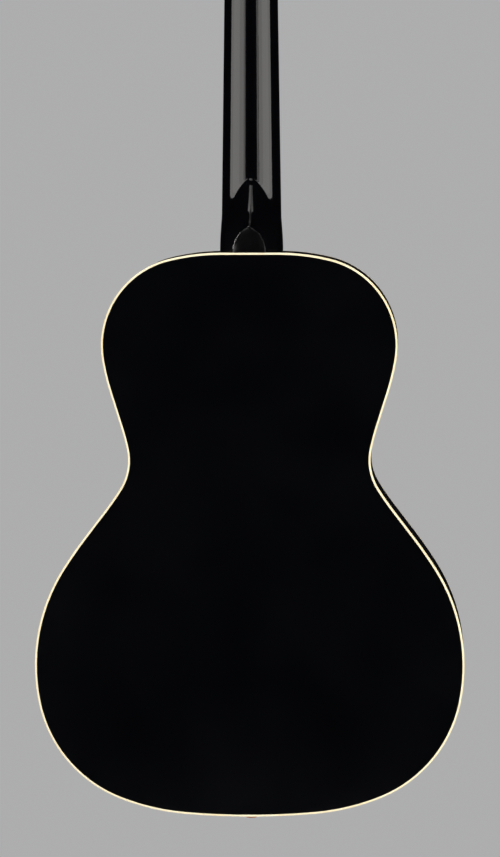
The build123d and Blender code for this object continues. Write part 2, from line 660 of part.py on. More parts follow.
def button_solid():
    """Oval button on the shaft's end, along Z."""
    oval = extrude(Ellipse(8.2, 7.0), 6.8)
    ends = oval.faces().sort_by(Axis.Z)
    oval = oval.fillet(2.4, ends[-1].edges() + ends[0].edges())
    lie = Plane((0, 3.4, 22), x_dir=(0, 0, 1), z_dir=(0, -1, 0)).location
    stem = Pos(0, 0, 15.0) * Cone(2.9, 3.1, 2.2)
    bore = Pos(0, 0, FERRULE_X + 1) * Cylinder(SHAFT_R, 5)
    return (lie * oval) + stem - bore - Pos(0, 0, FERRULE_X) * Cylinder(FERRULE_R, 2.0)


def post_solid(d):
    """String post about Z, with the string's tail through its hole."""
    top = Pos(0, 0, POST_TOP / 2 + GEAR_TOP / 2 + 0.1) * Cylinder(POST_R, POST_TOP - GEAR_TOP - 0.2)
    top = top.fillet(0.8, top.faces().sort_by(Axis.Z)[-1].edges())
    foot = Pos(0, 0, GEAR_TOP - GEAR_T / 2 + 0.1) * Cylinder(POST_FOOT_R, GEAR_T + 0.2)
    tail = Pos(0, 0, HOLE_W) * Rot(0, 90, 0) * Cylinder(d / 2, 2 * POST_R + 4)
    return top + foot - tail, tail


def make_tuners():
    worm, button, gear = worm_solid(), button_solid(), gear_solid()
    for number, (x, u, side) in enumerate(posts(), 1):
        frame = tuner_frame(abs(x), u)
        post, tail = post_solid(STRING_D[6 - number])
        pieces = {
            "tuner_worm": [WORM * s for s in worm],
            "tuner_button": [WORM * button],
            "tuner_gear": gear,
            "string_post": [post, tail],
        }
        for name, solids in pieces.items():
            placed = [frame * s for s in solids]
            if side < 0:
                placed = [s.mirror(Plane.YZ) for s in placed]
            save(f"{name}_{number}", *placed)


def make_tuner_plates():
    plates = []
    for side in (-1, 1):
        sheet = Pos(1, sum(PLATE_SCREWS[::3]) / 2, PLATE_FACE - PLATE_T / 2) * Box(PLATE_W, PLATE_L, PLATE_T)
        sheet = sheet.fillet(2.0, sheet.edges().filter_by(Axis.Z))
        for a in (-36, 0, 36):
            sheet -= Pos(0, a, PLATE_FACE) * Cylinder(POST_R + 0.1, 4)
            for b in (-EAR_OUT, EAR_IN):
                foot = Pos(b, a + WORM_A - 2.7, WORM_W - 2.7) * Box(
                    EAR_OUT - EAR_IN, 5.4, PLATE_FACE - WORM_W + 2.2, align=Align.MIN)
                foot = foot.fillet(2.2, [e for e in foot.edges().filter_by(Axis.X) if (e @ 0.5).Z < WORM_W])
                sheet += foot
            sheet -= Pos(0, a + WORM_A, WORM_W) * Rot(0, 90, 0) * Cylinder(SHAFT_R + 0.05, 20)
        for a in PLATE_SCREWS:
            sheet -= Pos(0, a, PLATE_FACE) * Cylinder(PLATE_SCREW_R, 4)
        if side > 0:
            plates.append(row_frame(1) * sheet)
        else:
            plates.append((row_frame(1) * sheet).mirror(Plane.YZ))
    save("tuner_plates", *plates)


def make_bushings():
    out = []
    for x, u, _ in posts():
        rim = head_rod(x, u, VENEER_T, VENEER_T + 1.2, BUSHING_RIM)
        sleeve = head_rod(x, u, -BUSHING_L, VENEER_T, BUSHING_R) + rim
        out.append(sleeve - head_rod(x, u, -6, 9, POST_R + 0.05))
    save("post_bushings", *out)


def make_screws():
    out = []
    low = PLATE_FACE - PLATE_T
    shanks = plate_screw_holes(PLATE_SCREW_R, low, -HEAD_T + 9)
    cap = Pos(0, 0, low) * (Sphere(2.2) & Pos(0, 0, -2) * Box(6, 6, 4))
    cap -= Pos(0, 0, low - 2.1) * Box(6, 0.6, 1.4)
    for side in (-1, 1):
        for a in PLATE_SCREWS:
            out.append(shanks[len(out)] + row_frame(side) * (Pos(0, a, 0) * cap))
    top = VENEER_T + COVER_T
    for x, u in COVER_SCREWS:
        head = Pos(x, u, top) * (Sphere(1.6) & Pos(0, 0, 2) * Box(6, 6, 4))
        head -= Pos(x, u, top + 1.5) * Box(6, 0.5, 1.2)
        out.append(head_rod(x, u, -7, top, COVER_SCREW_R) + HEAD * head)
    save("wood_screws", *out)


# --- strings ---------------------------------------------------------------------------------
def wraps(k):
    """The turns of string k round its post, inside to the hole."""
    r, side = STRING_D[k] / 2, (1 if k > 2 else -1)
    row, start_w = wrap_start(k)
    pitch, radius = STRING_D[k] + TURN_GAP, POST_R + r + WRAP_GAP
    helix = Edge.make_helix(pitch, WRAPS * pitch, radius, lefthand=True)
    section = Plane(helix @ 0, z_dir=helix % 0).location * Circle(r)
    coil = sweep(section, path=helix, is_frenet=True)
    placed = HEAD * (Pos(POST_X[row], POST_U[row], start_w) * Rot(0, 0, 180) * coil)
    return placed if side > 0 else placed.mirror(Plane.YZ)


def make_strings():
    groups = {"wound_strings": range(0, 4), "plain_strings": range(4, 6)}
    for name, numbers in groups.items():
        solids = []
        for k in numbers:
            solids += [string_line(k), wraps(k)]
        save(name, *solids)


if __name__ == "__main__":
    make_soundboard()
    make_rosette()
    make_back()
    make_sides()
    make_bindings()
    make_blocks()
    make_linings()
    make_braces()
    make_back_braces()
    make_bridge()
    make_pickguard()
    make_strap_pin()
    make_neck()
    make_head_trim()
    make_truss_rod()
    make_fingerboard()
    make_nut()
    make_tuners()
    make_tuner_plates()
    make_bushings()
    make_screws()
    make_strings()
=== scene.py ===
"""Looks of the acoustic guitar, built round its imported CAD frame. Metres, +Z up the neck."""
import json
import math

import bmesh
import bpy
from mathutils import Matrix, Vector

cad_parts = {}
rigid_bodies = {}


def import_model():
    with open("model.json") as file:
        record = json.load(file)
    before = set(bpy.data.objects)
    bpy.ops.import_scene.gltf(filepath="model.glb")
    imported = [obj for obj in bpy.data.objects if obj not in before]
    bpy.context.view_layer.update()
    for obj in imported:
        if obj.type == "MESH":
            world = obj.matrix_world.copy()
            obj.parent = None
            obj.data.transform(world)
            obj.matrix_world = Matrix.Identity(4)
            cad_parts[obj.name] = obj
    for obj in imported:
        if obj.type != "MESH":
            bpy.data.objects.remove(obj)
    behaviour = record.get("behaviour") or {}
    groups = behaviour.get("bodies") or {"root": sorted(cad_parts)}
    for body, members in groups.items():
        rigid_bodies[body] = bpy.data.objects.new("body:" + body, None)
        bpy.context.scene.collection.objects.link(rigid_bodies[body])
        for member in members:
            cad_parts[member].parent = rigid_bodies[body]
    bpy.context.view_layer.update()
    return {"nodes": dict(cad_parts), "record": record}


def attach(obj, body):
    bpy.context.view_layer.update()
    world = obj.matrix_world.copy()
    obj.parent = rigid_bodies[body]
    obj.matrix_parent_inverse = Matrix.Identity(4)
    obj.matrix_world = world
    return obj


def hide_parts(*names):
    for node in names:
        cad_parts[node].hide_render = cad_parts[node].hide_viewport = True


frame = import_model()
nodes = frame["nodes"]
MM = 0.001

# --- the guitar, repeated from the CAD model, in millimetres -------------------------
STRAP_Y, STRAP_MID = 53.5, 3.25         # from the modelling frame to the strap pin's centre
SCALE, BODY_L, JOINT_FRET, NUT_T = 628.65, 491.87, 14, 5.0
NUT_HW, JOINT_HW, DEPTH_NUT, DEPTH_JOINT = 21.9, 26.7, 20.5, 24.0
D_POWER = 2.25                          # roundness of the neck's section
CAP_HW, CAP_L, HEEL_TAIL, BLEND = 14.4, 22.6, 14.0, 5.0
DOME_R, DOME_Y, DOME_Z, BACK_T = 4572.0, -4464.6, 59.7, 2.6     # the arched back
HEAD_T, HEAD_L, TILT = 13.0, 178, math.radians(15)
SHOULDER, CORNER, CROWN_END = (31, 22), (36, 162), (28, 172.2)  # across and up the headstock
POST_U, POST_X, BUSHING_R = (38, 74, 110), (21.5, 23.0, 24.5), 4.4
Z_NUT = BODY_L + SCALE * (1 - 2 ** (-JOINT_FRET / 12))
Z_HEAD = Z_NUT + NUT_T
CAP_Y = DOME_Y + math.sqrt(DOME_R**2 - (BODY_L - DOME_Z) ** 2)

# --- the neck's smooth skin, in millimetres --------------------------------------------
HEEL_L, BLEND_FULL = 64.0, 8.0          # the heel's length and its blend, finer than the CAD model's
RIDGE_LOW, RIDGE_HIGH = 0.75, 0.74      # keenness of the heel's ridge at its cap and further up
RIDGE_RATE = 3                          # how soon the second takes over
HEEL_FLARE, ARCH_POWER = 1.5, 2.2       # widening towards the fingerboard, roundness of the arch
SHAFT_FALL, HEEL_FALL = 2.5, 1.2        # how fast the widths run below zero past the surface
ROW_BANDS = ((36, 0.6), (80, 1.0), (Z_NUT - BODY_L, 4))     # tops above the body, row spacings
HEAD_ROWS = (0, 8, 16, 26, 33)          # the last rows, above the nut, inside the headstock
HEAD_GAP = 0.05                         # between the skin there and the headstock's face
COLUMNS, FINE = 33, 500                 # points on half a row, and on the curve that they divide evenly
SCAN, SCAN_STEP, HALVINGS = 300, 0.4, 30    # the search for a row's depth: steps, a little over one, halvings
SCAN_NEAR, SCAN_FAR = 4, 3              # how far it runs past the shallowest and the deepest row
SHOULDER_PULL = (22.3, 9), (29.6, 11)   # control points of the headstock's two curves
CORNER_PULL = (36.3, 169), (34, 171.2)
SHOULDER_STEPS, SIDE_STEPS, CORNER_STEPS, CROWN_STEP = 16, 8, 12, 4
HEAD_EASE = ((1.2, 0), (0.55, 0.2), (0.15, 0.6), (0, 1.2))  # up from the back face, in from its edge
BORE_PAST, BORE_SIDES = 2, 40           # how far a post's bore runs past the wood, and its sides
CUT_CELLS, CUT_X, CUT_Z, CUT_BELOW, CUT_LIFT = 12, 6, 5, 5, 60      # the cutter's grid under the back
CAP_EASE, CAP_WELD = 0.4, 0.02          # the eased edge's width, and how close points are merged
FLAT_ANGLE, EDGE_ANGLE = 3, 40          # degrees: facets to merge and edges to ease on the cap
NECK_SMOOTH, CAP_SMOOTH = 35, 50        # degrees: sharper edges stay sharp

# --- studio, in metres, degrees and watts per square metre and steradian ---------------
FLOOR_R, FLOOR_Z, FLOOR_SIDES = 7.0, -1.0, 96
BACKDROP, SURROUND = (0.42, 0.42, 0.425), (0.004, 0.004, 0.005)
LAMP_COLOR = (1.0, 0.985, 0.96)
LIGHT_D, SIDE_LOW, SIDE_HIGH = 3.0, -0.1, 1.15          # the upright soft boxes
SIDE_NEAR, SIDE_FAR, SIDE_SKEW, SIDE_RADIANCE = 20.6, 80.6, 0.6, 2.45   # edges as bearings from +Y
HEART_NEAR, HEART_FAR, HEART_RADIANCE = 36, 66, 0.5
EDGE_NEAR, EDGE_FAR, EDGE_RADIANCE = 15, 19.8, 1.5
RIM_NEAR, RIM_FAR, RIM_LOW, RIM_HIGH, RIM_RADIANCE = 80, 108, 1.0, 3.4, 18.0
FRONT_ANGLE, FRONT_D, FRONT_Z, FRONT_AIM = 40, 2.4, 2.6, 0.5
FRONT_W, FRONT_H, FRONT_RADIANCE = 1.8, 1.2, 6.0
TOP_X, TOP_Y, TOP_Z, TOP_W, TOP_L, TOP_RADIANCE = 0.05, 2.6, 3.2, 1.5, 7.8, 1.2
RIM_BIAS, TOP_BIAS = 0.85, 0.25         # share by which a left lamp is above its pair's mean

# --- the picture's view: distance in metres, height and aim in millimetres -------------
VIEW_D, VIEW_H = 5.9, 747
VIEW_X, VIEW_Y, VIEW_Z = -0.8, 100, 339
VIEW_SIDE, VIEW_RISE, VIEW_ROLL = 1.5, 2.7, -0.13       # degrees: to the bass side, up, rolled


def placed(x, y, z):
    """A point of the CAD model's own frame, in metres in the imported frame."""
    return Vector((x * MM, (y - STRAP_Y) * MM, (z + STRAP_MID) * MM))


def on_head(x, u, w):
    """A point of the headstock: across, up its face and out of it."""
    c, s = math.cos(TILT), math.sin(TILT)
    return placed(x, u * s - w * c, Z_HEAD + u * c + w * s)


# --- materials, in metres --------------------------------------------------------------
WAVE = 0.32         # length of one wave of a wave texture whose scale is 1


class Look:
    """A material whose node tree is built up in short steps."""

    def __init__(self, name, color, rough, metal=0.0, ior=1.5):
        self.mat = bpy.data.materials.new(name)
        self.mat.use_nodes = True
        self.tree = self.mat.node_tree
        self.skin = self.tree.nodes["Principled BSDF"]
        self.put("Base Color", (*color, 1))
        self.put("Roughness", rough)
        self.put("Metallic", metal)
        self.put("IOR", ior)
        self.place = self.tree.nodes.new("ShaderNodeTexCoord").outputs["Object"]

    def put(self, socket, value):
        self.skin.inputs[socket].default_value = value
        return self

    def add(self, kind, **values):
        """A new node, with its settings and its inputs' values."""
        node = self.tree.nodes.new(kind)
        for key, value in values.items():
            if hasattr(node, key):
                setattr(node, key, value)
            else:
                node.inputs[key.replace("_", " ")].default_value = value
        return node

    def link(self, a, b):
        self.tree.links.new(a, b)

    def stretched(self, scale):
        """The object's own place, stretched by a factor along each axis."""
        node = self.add("ShaderNodeMapping")
        node.inputs["Scale"].default_value = scale
        self.link(self.place, node.inputs["Vector"])
        return node.outputs[0]

    def noise(self, size, detail=4.0, stretch=(1, 1, 1), rough=0.55):
        """Noise whose features are about `size` metres across."""
        node = self.add("ShaderNodeTexNoise", Scale=1 / size, Detail=detail, Roughness=rough)
        self.link(self.stretched(stretch), node.inputs["Vector"])
        return node.outputs["Fac"]

    def ramp(self, source, *stops):
        """A colour ramp; each stop is a place and a colour or a grey."""
        node = self.add("ShaderNodeValToRGB")
        ramp = node.color_ramp
        while len(ramp.elements) < len(stops):
            ramp.elements.new(0.5)
        for element, (where, value) in zip(ramp.elements, stops):
            element.position = where
            shade = value if isinstance(value, tuple) else (value, value, value)
            element.color = (*shade, 1)
        self.link(source, node.inputs["Fac"])
        return node.outputs["Color"]

    def mix(self, factor, a, b, blend="MIX"):
        """Colour mix; factor, a and b are sockets or constants."""
        node = self.add("ShaderNodeMix", data_type="RGBA", blend_type=blend)
        for socket, value in ((node.inputs[0], factor), (node.inputs[6], a), (node.inputs[7], b)):
            if isinstance(value, bpy.types.NodeSocket):
                self.link(value, socket)
            else:
                socket.default_value = (*value, 1) if isinstance(value, tuple) else value
        return node.outputs[2]

    def color(self, socket):
        self.link(socket, self.skin.inputs["Base Color"])
        return self

    def rough(self, source, low, high):
        """Roughness that runs from low to high with a source."""
        node = self.add("ShaderNodeMapRange")
        node.inputs["To Min"].default_value = low
        node.inputs["To Max"].default_value = high
        self.link(source, node.inputs["Value"])
        self.link(node.outputs[0], self.skin.inputs["Roughness"])
        return self

    def bump(self, source, depth, strength=1.0):
        """A bump whose full height is `depth` metres, over any earlier one."""
        node = self.add("ShaderNodeBump", Strength=strength, Distance=depth)
        self.link(source, node.inputs["Height"])
        before = self.skin.inputs["Normal"]
        if before.is_linked:
            self.link(before.links[0].from_socket, node.inputs["Normal"])
        self.link(node.outputs[0], before)
        return self


def lacquer(name, grain):
    """Old black nitro lacquer: deep gloss, orange peel, sunken grain and fine hairlines."""
    look = Look(name, (0.0009, 0.001, 0.0014), 0.07, ior=1.56)
    cloud = look.noise(0.09, 3)
    look.color(look.ramp(cloud, (0.3, (0.0005, 0.0006, 0.0009)), (0.75, (0.0014, 0.0015, 0.002))))
    hairs = look.noise(0.0016, 5, (1, 1, 0.12), 0.7)
    look.rough(look.mix(0.35, look.noise(0.035, 4), hairs), 0.035, 0.13)
    look.bump(look.noise(0.006, 2), 0.000012)
    look.bump(look.noise(0.0007, 3, grain, 0.6), 0.000006)
    return look.mat


def ivory(name):
    """Aged celluloid with faint ivory grain and amber lacquer over it."""
    look = Look(name, (0.80, 0.70, 0.44), 0.22, ior=1.5)
    lines = look.noise(0.0012, 4, (1, 6, 0.35), 0.6)
    base = look.ramp(lines, (0.25, (0.76, 0.65, 0.42)), (0.7, (0.83, 0.76, 0.56)))
    aged = look.ramp(look.noise(0.05, 3), (0.4, (1, 1, 1)), (0.85, (0.96, 0.88, 0.72)))
    look.color(look.mix(1.0, base, aged, "MULTIPLY"))
    look.put("Subsurface Weight", 0.08).put("Subsurface Radius", (0.002, 0.0015, 0.0008))
    look.put("Subsurface Scale", 0.5)
    look.rough(look.noise(0.01), 0.16, 0.32)
    look.bump(look.noise(0.004, 2), 0.00001)
    return look.mat


def wood(name, dark, light, rough, size=0.006, pores=0.00004, along=(1, 1, 0.06), rings=0.0):
    """Bare or oiled wood: streaks along the grain, fine pores, uneven sheen."""
    look = Look(name, light, rough[0])
    streaks = look.noise(size, 6, along, 0.6)
    broad = look.noise(size * 6, 3, along)
    tone = look.ramp(look.mix(0.4, streaks, broad), (0.3, dark), (0.72, light))
    if rings:
        wave = look.add("ShaderNodeTexWave", Scale=1 / rings, Distortion=1.4, Detail=2.0)
        wave.bands_direction = "X"
        look.link(look.stretched((1, 1, 0.04)), wave.inputs["Vector"])
        lines = look.ramp(wave.outputs["Fac"], (0.1, (0.8, 0.72, 0.62)), (0.45, (1, 1, 1)))
        tone = look.mix(0.8, tone, lines, "MULTIPLY")
    look.color(tone)
    look.rough(streaks, *rough)
    look.bump(look.ramp(look.noise(0.0006, 4, along, 0.7), (0.36, 0.0), (0.5, 1.0)), pores)
    return look.mat


def metal(name, color, rough, scratch=(1, 1, 1), tarnish=(0.6, 0.5, 0.38)):
    """Plated or cut metal with polishing marks and a little tarnish."""
    look = Look(name, color, rough, metal=1.0)
    dull = tuple(c * t for c, t in zip(color, tarnish))
    look.color(look.ramp(look.noise(0.006, 5), (0.45, color), (0.85, dull)))
    fine = look.noise(0.0005, 4, scratch, 0.65)
    look.rough(fine, rough * 0.7, rough * 1.6)
    look.bump(fine, 0.000004)
    return look.mat


def plastic(name, color, rough, drift=0.15, sheer=0.0, size=0.01):
    """Moulded or turned plastic, bone or celluloid with soft clouds of colour."""
    look = Look(name, color, rough)
    low = tuple(c * (1 - drift) for c in color)
    high = tuple(min(1, c * (1 + drift)) for c in color)
    look.color(look.ramp(look.noise(size, 3), (0.3, low), (0.7, high)))
    look.rough(look.noise(0.002, 4), rough * 0.7, rough * 1.5)
    look.bump(look.noise(0.003, 3), 0.00001)
    if sheer:
        look.put("Subsurface Weight", sheer).put("Subsurface Radius", (0.004, 0.002, 0.001))
        look.put("Subsurface Scale", 0.4)
    return look.mat


def pearl(name):
    """Mother of pearl: layered colour with a hard gloss."""
    look = Look(name, (0.8, 0.82, 0.8), 0.14, ior=1.6)
    layers = look.noise(0.0022, 5, (1, 1, 2.4), 0.6)
    look.color(look.ramp(layers, (0.3, (0.62, 0.74, 0.72)), (0.48, (0.86, 0.86, 0.82)),
                         (0.62, (0.80, 0.70, 0.74)), (0.8, (0.88, 0.9, 0.86))))
    look.put("Coat Weight", 0.5).put("Coat Roughness", 0.05)
    return look.mat


def wound(name, winding=0.00035):
    """Bronze-wound string: fine windings across the wire's run, `winding` metres apart, with painted shade
    darkening the base colour in the grooves between them.
    """
    look = Look(name, (0.72, 0.45, 0.21), 0.28, metal=1.0)
    turns = look.add("ShaderNodeTexWave", Scale=WAVE / winding, Distortion=0.0, wave_profile="SIN")
    turns.bands_direction = "Z"
    look.link(look.place, turns.inputs["Vector"])
    # painted shade: the base colour is darker in the grooves between the windings and lighter on their crests
    groove_shade = look.ramp(turns.outputs["Fac"], (0.0, (0.36, 0.2, 0.09)), (0.5, (0.78, 0.5, 0.25)))
    aged = look.ramp(look.noise(0.02), (0.3, (0.6, 0.36, 0.16)), (0.7, (0.8, 0.52, 0.26)))
    look.color(look.mix(0.3, groove_shade, aged))
    look.bump(turns.outputs["Fac"], 0.00008)
    return look.mat


LOOKS = {
    "black_lacquer": lacquer("black lacquer", (1, 1, 0.05)),
    "black_lacquer_top": lacquer("black lacquer on spruce", (1.6, 1, 0.03)),
    "ivory_binding": ivory("ivory binding"),
    "mahogany": wood("mahogany", (0.22, 0.09, 0.045), (0.42, 0.21, 0.11), (0.5, 0.75)),
    "spruce": wood("spruce", (0.62, 0.44, 0.25), (0.80, 0.64, 0.42), (0.5, 0.7), rings=0.012),
    "maple": wood("maple", (0.58, 0.42, 0.26), (0.76, 0.60, 0.42), (0.45, 0.65)),
    "rosewood": wood("rosewood", (0.020, 0.008, 0.005), (0.115, 0.048, 0.026), (0.3, 0.55),
                     0.004, 0.00006),
    "black_plastic": plastic("black celluloid", (0.0016, 0.0016, 0.0018), 0.09),
    "bone": plastic("bone", (0.80, 0.74, 0.58), 0.25, 0.06, 0.1),
    "cream_plastic": plastic("cream plastic", (0.78, 0.68, 0.48), 0.18, 0.07, 0.12),
    "amber_plastic": plastic("amber plastic", (0.36, 0.13, 0.025), 0.12, 0.4, 0.2, 0.004),
    "nickel": metal("nickel", (0.70, 0.67, 0.62), 0.17),
    "pearl": pearl("pearl"),
    "steel": metal("plain steel", (0.62, 0.62, 0.62), 0.2, (1, 1, 0.1), (0.8, 0.78, 0.74)),
    "bronze": wound("wound bronze"),
    "brass": metal("brass", (0.78, 0.57, 0.26), 0.24),
}


def dress(obj, look):
    """Give an object its look alone."""
    obj.data.materials.clear()
    obj.data.materials.append(LOOKS[look])


for part in frame["record"]["subparts"]:
    dress(nodes[part["node"]], part["material_slot"])


# --- the neck and the heel cap -----------------------------------------------------------
def board_hw(z):
    """Half width of the neck."""
    return NUT_HW + (JOINT_HW - NUT_HW) * (Z_NUT - z) / (Z_NUT - BODY_L)


def shaft_depth(z):
    """Depth of the rounded shaft; past the nut it sinks into the headstock."""
    along = (Z_NUT - z) / (Z_NUT - BODY_L)
    return DEPTH_NUT + (DEPTH_JOINT - DEPTH_NUT) * min(1, max(0, along))


def shaft_x(y, z):
    """Half width of the shaft at a depth below the fingerboard and a height."""
    depth, width = shaft_depth(z), board_hw(min(z, Z_NUT))
    if y < depth:
        return width * (1 - (max(y, 0) / depth) ** D_POWER) ** (1 / D_POWER)
    return -(y - depth) * SHAFT_FALL


def heel_x(y, z):
    """Half width of the heel, a pointed arch that grows up the neck near the fingerboard."""
    keen = RIDGE_LOW
    if y > CAP_Y:
        fade = math.sqrt(max(0, 1 - ((y - CAP_Y) / HEEL_TAIL) ** 2))
        width, length = CAP_HW * fade, CAP_L * fade
    else:
        width = CAP_HW + (JOINT_HW - CAP_HW) * (1 - y / CAP_Y) ** HEEL_FLARE
        t = (CAP_Y - max(y, DEPTH_JOINT)) / (CAP_Y - DEPTH_JOINT)
        length = HEEL_L - (HEEL_L - CAP_L) * math.sqrt(1 - t * t)
        keen += (RIDGE_HIGH - RIDGE_LOW) * min(1, RIDGE_RATE * t)
    u = (z - BODY_L) / max(length, 1e-6)
    return width * (1 - u**ARCH_POWER) ** keen if u < 1 else -(u - 1) * HEEL_FALL * width


def neck_x(y, z):
    """The wider of the two, blended where they meet, but less so at the neck's middle."""
    a, b = shaft_x(y, z), heel_x(y, z)
    soft = BLEND * min(1, max(a, 0.01) / BLEND_FULL)
    h = max(soft - abs(a - b), 0) / soft
    return max(a, b) + h * h * soft / 4


def neck_depth(z):
    """Depth at one height at which the neck's half width comes to nothing."""
    near, far = DEPTH_NUT - SCAN_NEAR, CAP_Y + HEEL_TAIL + SCAN_FAR
    steps = [near + (far - near) * i / SCAN for i in range(SCAN + 1)]
    low = max(y for y in steps if neck_x(y, z) > 0)
    high = low + SCAN_STEP
    for _ in range(HALVINGS):
        mid = (low + high) / 2
        low, high = (mid, high) if neck_x(mid, z) > 0 else (low, mid)
    return low


def neck_contour(z):
    """Points round the neck's back at one height, evenly spaced, bass edge to treble edge."""
    depth = neck_depth(z)
    fine = []
    for q in range(FINE):
        y = depth * math.sin(q * math.pi / (2 * FINE))
        fine.append((max(neck_x(y, z), 0), y))
    fine.append((0, depth))
    run = [0.0]
    for a, b in zip(fine, fine[1:]):
        run.append(run[-1] + math.dist(a, b))
    half, j = [], 0
    for k in range(COLUMNS):
        want = run[-1] * k / (COLUMNS - 1)
        while j < len(run) - 2 and run[j + 1] < want:
            j += 1
        f = (want - run[j]) / max(run[j + 1] - run[j], 1e-9)
        half.append(tuple(p + (q - p) * f for p, q in zip(fine[j], fine[j + 1])))
    return [(-x, y) for x, y in half] + [(x, y) for x, y in half[-2::-1]]


def new_object(name, bm):
    """An object in the scene from a finished bmesh, its normals outward."""
    mesh = bpy.data.meshes.new(name)
    bmesh.ops.recalc_face_normals(bm, faces=bm.faces)
    bm.to_mesh(mesh)
    bm.free()
    obj = bpy.data.objects.new(name, mesh)
    bpy.context.scene.collection.objects.link(obj)
    return obj


def row_heights():
    """Heights of the skin's rows: close together on the heel, wider apart up the shaft."""
    rises, low = [], 0
    for high, step in ROW_BANDS:
        rises += [low + step * i for i in range(round((high - low) / step))]
        low = high
    return [BODY_L + rise for rise in rises] + [Z_NUT + rise for rise in HEAD_ROWS]


def shaft_mesh():
    """Neck and heel from the body to inside the headstock, closed."""
    bm = bmesh.new()
    rows = []
    for z in row_heights():
        front = max(0, (z - Z_HEAD) * math.tan(TILT)) + (HEAD_GAP if z > Z_HEAD else 0)
        contour = [(x, max(y, front)) for x, y in neck_contour(z)]
        rows.append([bm.verts.new(placed(x, y, z)) for x, y in contour])
    for a, b in zip(rows, rows[1:]):
        for i in range(len(a) - 1):
            bm.faces.new((a[i], a[i + 1], b[i + 1], b[i]))
        bm.faces.new((a[-1], a[0], b[0], b[-1]))
    bm.faces.new(rows[0])
    bm.faces.new(list(reversed(rows[-1])))
    return new_object("shaft", bm)


def bezier(p, q, r, s, count):
    """Points of a cubic curve, without its last one."""
    out = []
    for i in range(count):
        t = i / count
        a, b, c, d = (1 - t) ** 3, 3 * t * (1 - t) ** 2, 3 * t * t * (1 - t), t**3
        out.append(tuple(a * e + b * f + c * g + d * h for e, f, g, h in zip(p, q, r, s)))
    return out


def head_outline():
    """The headstock's outline across and up its face, from the nut to the crown and back."""
    (x0, u0), (x1, u1) = SHOULDER, CORNER
    half = bezier((NUT_HW, 0), *SHOULDER_PULL, SHOULDER, SHOULDER_STEPS)
    for t in range(SIDE_STEPS):
        half.append((x0 + (x1 - x0) * t / SIDE_STEPS, u0 + (u1 - u0) * t / SIDE_STEPS))
    half += bezier(CORNER, *CORNER_PULL, CROWN_END, CORNER_STEPS)
    span, rise = CROWN_END[0], HEAD_L - CROWN_END[1]
    radius = (span**2 + rise**2) / (2 * rise)
    for x in range(span, 0, -CROWN_STEP):
        half.append((x, HEAD_L - radius + math.sqrt(radius**2 - x * x)))
    return half + [(0, HEAD_L)] + [(-x, u) for x, u in reversed(half)]


def head_mesh():
    """The headstock's wood, its back edges eased."""
    bm = bmesh.new()
    outline = head_outline()
    wide, middle = CORNER[0], HEAD_L / 2
    rings = []
    for up, inset in ((HEAD_T, 0), *HEAD_EASE):
        ring = []
        for x, u in outline:
            across, along = 1 - inset / wide, 1 - inset / middle
            point = on_head(x * across, middle + (u - middle) * along, up - HEAD_T)
            ring.append(bm.verts.new(point))
        rings.append(ring)
    for a, b in zip(rings, rings[1:]):
        for i in range(len(a)):
            j = (i + 1) % len(a)
            bm.faces.new((a[i], a[j], b[j], b[i]))
    bm.faces.new(rings[0])
    bm.faces.new(list(reversed(rings[-1])))
    return new_object("head", bm)


def post_bore(x, u):
    """A closed round bar where a bushing and its post pass through the headstock."""
    a, b = on_head(x, u, -HEAD_T - BORE_PAST), on_head(x, u, BORE_PAST)
    axis, radius = b - a, BUSHING_R * MM
    bm = bmesh.new()
    bmesh.ops.create_cone(bm, cap_ends=True, segments=BORE_SIDES, radius1=radius, radius2=radius,
                          depth=axis.length)
    turn = axis.to_track_quat("Z", "Y").to_matrix().to_4x4()
    bmesh.ops.transform(bm, matrix=Matrix.Translation((a + b) / 2) @ turn, verts=bm.verts)
    return new_object("bore", bm)


def cap_cutter():
    """A block behind the heel; its near side carries on the back's inner face, under the heel cap."""
    bm = bmesh.new()
    n = CUT_CELLS
    xs = [CUT_X * (i - n / 2) for i in range(n + 1)]
    zs = [BODY_L - CUT_BELOW + CUT_Z * i for i in range(n + 1)]
    grids = []
    for lift in (0, CUT_LIFT):
        grid = []
        for z in zs:
            row = []
            for x in xs:
                y = DOME_Y + math.sqrt((DOME_R - BACK_T) ** 2 - x * x - (z - DOME_Z) ** 2) + lift
                row.append(bm.verts.new(placed(x, y, z)))
            grid.append(row)
        grids.append(grid)
    for grid in grids:
        for a, b in zip(grid, grid[1:]):
            for i in range(len(a) - 1):
                bm.faces.new((a[i], a[i + 1], b[i + 1], b[i]))
    low, high = grids
    rim = [(0, i) for i in range(n)] + [(i, n) for i in range(n)]
    rim += [(n, n - i) for i in range(n)] + [(n - i, 0) for i in range(n)]
    for (a, b), (c, d) in zip(rim, rim[1:] + rim[:1]):
        bm.faces.new((low[a][b], low[c][d], high[c][d], high[a][b]))
    return new_object("cutter", bm)


def carve(obj, other, operation):
    """One exact boolean, applied; the other object is removed."""
    mod = obj.modifiers.new("carve", "BOOLEAN")
    mod.operation, mod.solver, mod.object = operation, "EXACT", other
    bpy.context.view_layer.update()
    done = bpy.data.meshes.new_from_object(obj.evaluated_get(bpy.context.evaluated_depsgraph_get()))
    obj.modifiers.clear()
    obj.data = done
    bpy.data.objects.remove(other)


def smooth(obj, angle):
    """Smooth shading, apart from edges sharper than an angle in degrees."""
    obj.data.polygons.foreach_set("use_smooth", [True] * len(obj.data.polygons))
    obj.data.set_sharp_from_angle(angle=math.radians(angle))


def make_neck():
    """Neck, heel and headstock as one piece of lacquered wood."""
    neck = shaft_mesh()
    neck.name = "neck_wood"
    carve(neck, cap_cutter(), "DIFFERENCE")
    head = head_mesh()
    for x, u in zip(POST_X, POST_U):
        for side in (-1, 1):
            carve(head, post_bore(side * x, u), "DIFFERENCE")
    carve(neck, head, "UNION")
    smooth(neck, NECK_SMOOTH)
    dress(neck, "black_lacquer")
    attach(neck, "instrument")
    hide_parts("neck")


